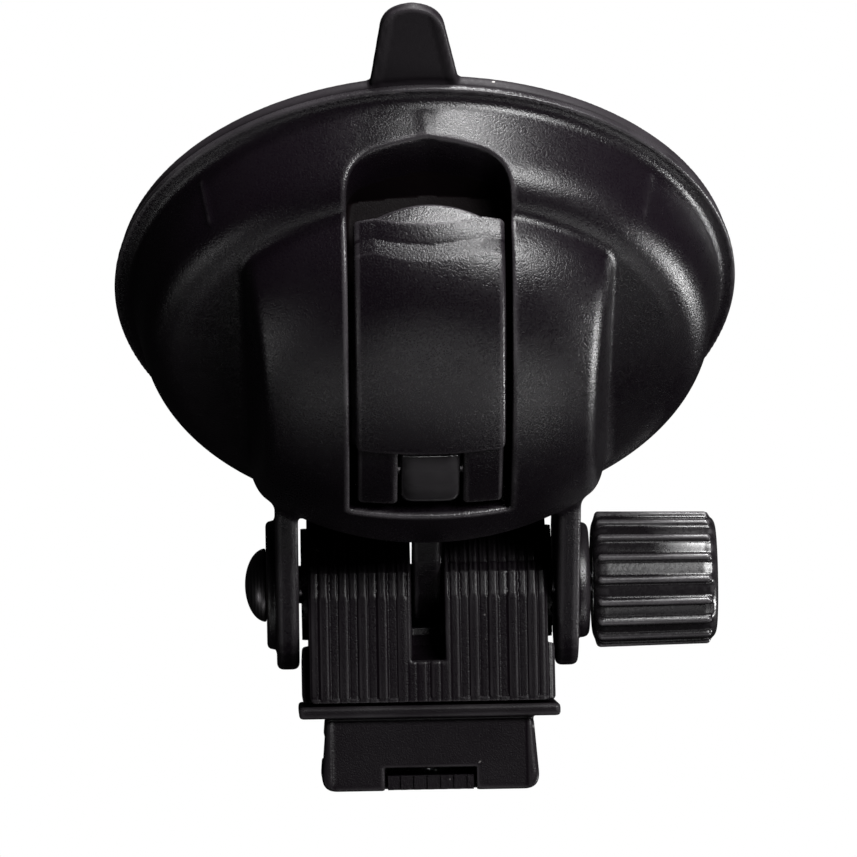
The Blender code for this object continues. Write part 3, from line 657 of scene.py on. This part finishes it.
SOFTBOXES = [
    # name, azimuth, elevation, distance, size, power
    ("key", 32, 15, FULL_DISTANCE, 0.20, 13.0),
    ("key_front", 20, 20, FULL_DISTANCE, 0.18, 7.5),
    ("top", 30, 67, FULL_DISTANCE, 0.16, 18.0),
    ("top_front", 10, 48, FULL_DISTANCE, 0.16, 6.5),
    ("right_rim", 100, -25, 0.75, 0.16, 10.4),
    ("low_right", 60, -60, 0.37, 0.18, 1.4),
    ("low_front", 0, -58, 0.37, 0.18, 0.75),
    ("low_left", -60, -60, 0.37, 0.18, 0.45),
    ("left", -75, -30, 0.60, 0.16, 0.8),
]


def softbox(name, azimuth, elevation, distance, size, power):
    """A square softbox aimed at the mount. Size and power are those it has at full distance."""
    turn, rise = math.radians(azimuth), math.radians(elevation)
    forward = -math.cos(turn) * math.cos(rise)
    away = Vector((math.sin(turn) * math.cos(rise), forward, math.sin(rise)))
    lamp = bpy.data.lights.new(name, "AREA")
    lamp.shape = "SQUARE"
    lamp.size = size * distance / FULL_DISTANCE
    lamp.energy = power * (distance / FULL_DISTANCE) ** 2
    obj = bpy.data.objects.new(name, lamp)
    bpy.context.scene.collection.objects.link(obj)
    obj.location = MIDDLE + away * distance
    obj.rotation_euler = (-away).to_track_quat("-Z", "Y").to_euler()
    obj.visible_camera = False


def pale_floor():
    """A plain pale round floor, well below the mount."""
    rings, sides = 8, 48
    radius, behind, low = 1.6, 0.3, -0.36
    verts = [(0.0, behind, low)]
    for r in range(1, rings + 1):
        reach = radius * r / rings
        for k in range(sides):
            t = 2 * math.pi * k / sides
            verts.append((reach * math.cos(t), behind + reach * math.sin(t), low))
    faces = [(0, 1 + k, 1 + (k + 1) % sides) for k in range(sides)]
    for r in range(rings - 1):
        here, after = 1 + r * sides, 1 + (r + 1) * sides
        for k in range(sides):
            n = (k + 1) % sides
            faces.append((here + k, after + k, after + n, here + n))
    mesh = bpy.data.meshes.new("floor")
    mesh.from_pydata(verts, [], faces)
    floor = bpy.data.objects.new("floor", mesh)
    bpy.context.scene.collection.objects.link(floor)
    n = Nodes("floor_paper")
    clouds = n.spread(n.noise(3, 3), 0.3, 0.7, 0.0, 1.0)
    n.join(n.mix(clouds, (0.84, 0.84, 0.84), (0.87, 0.87, 0.87)), n.shader.inputs["Base Color"])
    n.shader.inputs["Roughness"].default_value = 0.9
    mesh.materials.append(n.material)
    floor.visible_glossy = False
    floor.visible_diffuse = False


def studio_world():
    """White behind the mount, and dim where the mount's own surfaces would mirror it."""
    world = bpy.data.worlds.new("studio")
    world.use_nodes = True
    tree = world.node_tree
    seen = tree.nodes["Background"]
    seen.inputs["Color"].default_value = (1, 1, 1, 1)
    seen.inputs["Strength"].default_value = 1.0
    room = tree.nodes.new("ShaderNodeBackground")
    room.inputs["Color"].default_value = (0.98, 0.97, 1.0, 1)
    room.inputs["Strength"].default_value = 0.006
    path = tree.nodes.new("ShaderNodeLightPath")
    mix = tree.nodes.new("ShaderNodeMixShader")
    tree.links.new(path.outputs["Is Camera Ray"], mix.inputs["Fac"])
    tree.links.new(room.outputs["Background"], mix.inputs[1])
    tree.links.new(seen.outputs["Background"], mix.inputs[2])
    tree.links.new(mix.outputs["Shader"], tree.nodes["World Output"].inputs["Surface"])
    bpy.context.scene.world = world


def front_camera():
    """A long lens that looks level at the mount from the front, as the photo does."""
    yaw, roll = math.radians(1.11), math.radians(-1.01)
    distance, aside, height = 0.9, 0.000134, -0.0164
    data = bpy.data.cameras.new("camera")
    data.lens = 365.97
    data.sensor_width = 36.0
    data.clip_start = 0.05
    camera = bpy.data.objects.new("camera", data)
    bpy.context.scene.collection.objects.link(camera)
    bpy.context.scene.camera = camera
    ahead = Vector((math.sin(yaw), math.cos(yaw), 0))
    side = Vector((math.cos(yaw), -math.sin(yaw), 0))
    up = Vector((0, 0, 1))
    right = side * math.cos(roll) + up * math.sin(roll)
    above = -side * math.sin(roll) + up * math.cos(roll)
    place = side * aside - ahead * distance + up * height
    turned = Matrix((right, above, -ahead)).transposed().to_4x4()
    camera.matrix_world = Matrix.Translation(place) @ turned


# ---------------------------------------------------------------- the build

CUP_SKINS = [
    # name, field, low corner, high corner, voxel, body, nodes it replaces, slot
    ("cover_skin", cover_field, (-32.6, -47, 1.0), (32.6, 32.6, 27), 0.31,
     "cup_body", ["cover"], "satin_black"),
    ("lever_skin", lever_field, (-8.2, -9.6, 9.4), (8.2, 26, 27), 0.2,
     "lever", ["lock_lever"], "satin_black"),
    ("stem_skin", stem_field, (-12.8, -12.8, 3.0), (12.8, 12.8, 27), 0.25,
     "stem", ["stem"], "smoke"),
    ("cup_skin", cup_field, (-32.4, -32.4, -0.6), (32.4, 44.2, 5.7), 0.32,
     "cup_body", ["suction_cup"], "rubber"),
]
AXLE_SKINS = [
    ("adapter_skin", adapter_field, (-13.9, -11, -13), (13.9, 10.6, 8.6), 0.18,
     "adapter", ["adapter_block"], "fine_black"),
    ("shoe_skin", shoe_field, (-14.2, -11.8, -22.3), (14.2, 11.4, -12.2), 0.25,
     "adapter", ["camera_shoe"], "fine_black"),
    ("knob_skin", knob_field, (17.0, -7.9, -7.9), (31.1, 7.9, 7.9), 0.16,
     "knob", ["knob"], "gloss_black"),
    ("bolt_skin", bolt_field, (-19.6, -5.2, -5.2), (26.0, 5.2, 5.2), 0.2,
     "cup_body", ["hinge_bolt"], "black_steel"),
]

looks = finishes()
slot_of = {s["node"]: s["material_slot"] for s in frame["record"]["subparts"]}
for node, obj in frame["nodes"].items():
    obj.data.materials.clear()
    obj.data.materials.append(looks[slot_of[node]])

for placement, group in ((CUP_TO_WORLD, CUP_SKINS), (AXLE_TO_WORLD, AXLE_SKINS)):
    for name, field, low, high, voxel, body, replaced, slot in group:
        # The trough behind the lever's tip is given painted shade.
        recess = (trough_end, looks["recess"]) if name == "cover_skin" else None
        skin(name, field, low, high, voxel, placement, body, replaced, looks[slot], recess)

pale_floor()
studio_world()
for row in SOFTBOXES:
    softbox(*row)
front_camera()
bpy.context.scene.view_settings.view_transform = "Standard"
bpy.context.scene.view_settings.look = "None"
